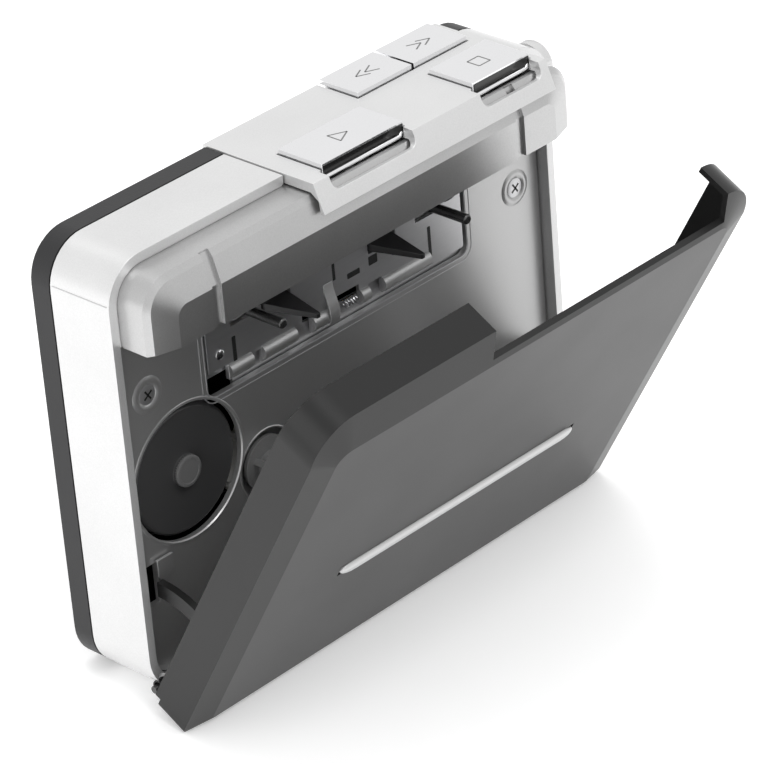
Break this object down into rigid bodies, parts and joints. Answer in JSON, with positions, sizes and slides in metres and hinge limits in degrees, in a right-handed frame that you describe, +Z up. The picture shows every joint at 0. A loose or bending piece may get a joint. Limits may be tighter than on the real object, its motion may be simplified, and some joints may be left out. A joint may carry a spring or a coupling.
{
  "type": "portable cassette player",
  "caption": "Pocket cassette player with a silver frame, black back and bottom-hinged door, open over the tape deck, with chrome keys on top.",
  "frame": {"origin": "on the flat underside of the silver frame, half way along the frame's width and depth", "axes": "+X to the right seen from the door side, +Y to the back, +Z up"},
  "size_m": [0.117, 0.0694, 0.0926],
  "materials": {
    "silver": "satin silver finish",
    "satin_black": "satin black",
    "door_black": "semi-gloss black",
    "deck_grey": "satin silver-grey",
    "chrome": "bright chrome plate",
    "steel": "plain steel",
    "black_plastic": "satin",
    "white_plastic": "plain moulded",
    "rubber": "matte",
    "brass": "machined",
    "board_green": "solder mask"
  },
  "bodies": {
    "player": {"back_screw_left_high": "steel", "back_screw_left_low": "steel", "back_screw_right_high": "steel", "back_screw_right_low": "steel", "back_shell": "satin_black", "battery_contact": "steel", "battery_spring": "steel", "chassis": "steel", "circuit_board": "board_green", "deck_plate": "deck_grey", "deck_screw_left": "steel", "deck_screw_right": "steel", "drive_belt": "rubber", "forward_spring": "steel", "frame": "silver", "headphone_jack": "black_plastic", "hinge_pin_left": "steel", "hinge_pin_right": "steel", "hood": "silver", "key_bracket": "steel", "motor": "black_plastic", "motor_clip": "deck_grey", "play_spring": "steel", "rewind_spring": "steel", "stop_spring": "steel", "tape_guide_left": "black_plastic", "tape_guide_right": "black_plastic", "top_cap": "silver", "usb_socket": "steel"},
    "door": {"door": "door_black", "door_trim": "chrome", "cassette_spring_left": "steel", "cassette_spring_right": "steel"},
    "play_key": {"play_button": "chrome", "play_slider": "steel"},
    "stop_key": {"stop_button": "chrome", "stop_slider": "steel"},
    "rewind_key": {"rewind_button": "chrome", "rewind_slider": "steel"},
    "forward_key": {"forward_button": "chrome", "forward_slider": "steel"},
    "carriage": {"head_carriage": "steel", "tape_head": "chrome"},
    "pinch_left": {"pinch_arm_left": "steel"},
    "roller_left": {"pinch_roller_left": "rubber"},
    "pinch_right": {"pinch_arm_right": "steel"},
    "roller_right": {"pinch_roller_right": "rubber"},
    "capstan_unit_left": {"capstan_left": "steel", "flywheel_left": "brass"},
    "capstan_unit_right": {"capstan_right": "steel", "flywheel_right": "brass", "capstan_pinion": "white_plastic"},
    "idler": {"idler_gear": "white_plastic"},
    "supply_reel": {"reel_spindle_left": "black_plastic", "reel_gear_left": "white_plastic"},
    "take_up_reel": {"reel_spindle_right": "black_plastic", "reel_gear_right": "white_plastic"},
    "motor_rotor": {"motor_pulley": "brass"},
    "volume": {"volume_knob": "silver"},
    "battery_door": {"battery_lid": "satin_black"}
  },
  "joints": [
    {"name": "door_hinge", "type": "hinge", "parent": "player", "child": "door", "pos_m": [0, -0.0065, 0.0016], "axis": [1, 0, 0], "range_deg": [-30, 0]},
    {"name": "play_press", "type": "slide", "parent": "player", "child": "play_key", "axis": [0, 0, -1], "range_m": [0, 0.002], "stiffness_N_per_m": 500, "springref_m": -0.002, "deforming": ["play_spring"]},
    {"name": "stop_press", "type": "slide", "parent": "player", "child": "stop_key", "axis": [0, 0, -1], "range_m": [0, 0.002], "stiffness_N_per_m": 500, "springref_m": -0.002, "deforming": ["stop_spring"]},
    {"name": "rewind_press", "type": "slide", "parent": "player", "child": "rewind_key", "axis": [0, 0, -1], "range_m": [0, 0.002], "stiffness_N_per_m": 500, "springref_m": -0.002, "deforming": ["rewind_spring"]},
    {"name": "forward_press", "type": "slide", "parent": "player", "child": "forward_key", "axis": [0, 0, -1], "range_m": [0, 0.002], "stiffness_N_per_m": 500, "springref_m": -0.002, "deforming": ["forward_spring"]},
    {"name": "carriage_slide", "type": "slide", "parent": "player", "child": "carriage", "axis": [0, 0, -1], "range_m": [0, 0.0013]},
    {"name": "pinch_left_pivot", "type": "hinge", "parent": "carriage", "child": "pinch_left", "pos_m": [-0.0305, -0.0049, 0.0754], "axis": [0, 1, 0], "range_deg": [-2, 2], "stiffness_Nm_per_rad": 0.05},
    {"name": "roller_left_spin", "type": "hinge", "parent": "pinch_left", "child": "roller_left", "pos_m": [-0.02415, -0.0049, 0.0725], "axis": [0, 1, 0], "continuous": true},
    {"name": "pinch_right_pivot", "type": "hinge", "parent": "carriage", "child": "pinch_right", "pos_m": [0.0305, -0.0049, 0.0754], "axis": [0, 1, 0], "range_deg": [-2, 2], "stiffness_Nm_per_rad": 0.05},
    {"name": "roller_right_spin", "type": "hinge", "parent": "pinch_right", "child": "roller_right", "pos_m": [0.02415, -0.0049, 0.0725], "axis": [0, 1, 0], "continuous": true},
    {"name": "flywheel_left_spin", "type": "hinge", "parent": "player", "child": "capstan_unit_left", "pos_m": [-0.02415, 0, 0.0649], "axis": [0, 1, 0], "continuous": true},
    {"name": "flywheel_right_spin", "type": "hinge", "parent": "player", "child": "capstan_unit_right", "pos_m": [0.02415, 0, 0.0649], "axis": [0, 1, 0], "continuous": true},
    {"name": "idler_spin", "type": "hinge", "parent": "player", "child": "idler", "pos_m": [0.02286, 0, 0.05003], "axis": [0, 1, 0], "continuous": true},
    {"name": "supply_reel_spin", "type": "hinge", "parent": "player", "child": "supply_reel", "pos_m": [-0.02125, 0, 0.0316], "axis": [0, 1, 0], "continuous": true},
    {"name": "take_up_reel_spin", "type": "hinge", "parent": "player", "child": "take_up_reel", "pos_m": [0.02125, 0, 0.0316], "axis": [0, 1, 0], "continuous": true},
    {"name": "motor_spin", "type": "hinge", "parent": "player", "child": "motor_rotor", "pos_m": [-0.0405, 0, 0.0391], "axis": [0, 1, 0], "continuous": true},
    {"name": "volume_turn", "type": "hinge", "parent": "player", "child": "volume", "pos_m": [0.057, -0.002, 0.0793], "axis": [1, 0, 0], "range_deg": [-140, 140]},
    {"name": "battery_lid_slide", "type": "slide", "parent": "player", "child": "battery_door", "axis": [0, 0, -1], "range_m": [0, 0.012]}
  ],
  "couplings": [
    {"joint": "carriage_slide", "follows": "play_press", "ratio": 0.65},
    {"joint": "flywheel_right_spin", "follows": "flywheel_left_spin", "ratio": 1},
    {"joint": "motor_spin", "follows": "flywheel_left_spin", "ratio": 4.2857},
    {"joint": "idler_spin", "follows": "flywheel_left_spin", "ratio": -0.38095},
    {"joint": "take_up_reel_spin", "follows": "flywheel_left_spin", "ratio": 0.53333}
  ]
}
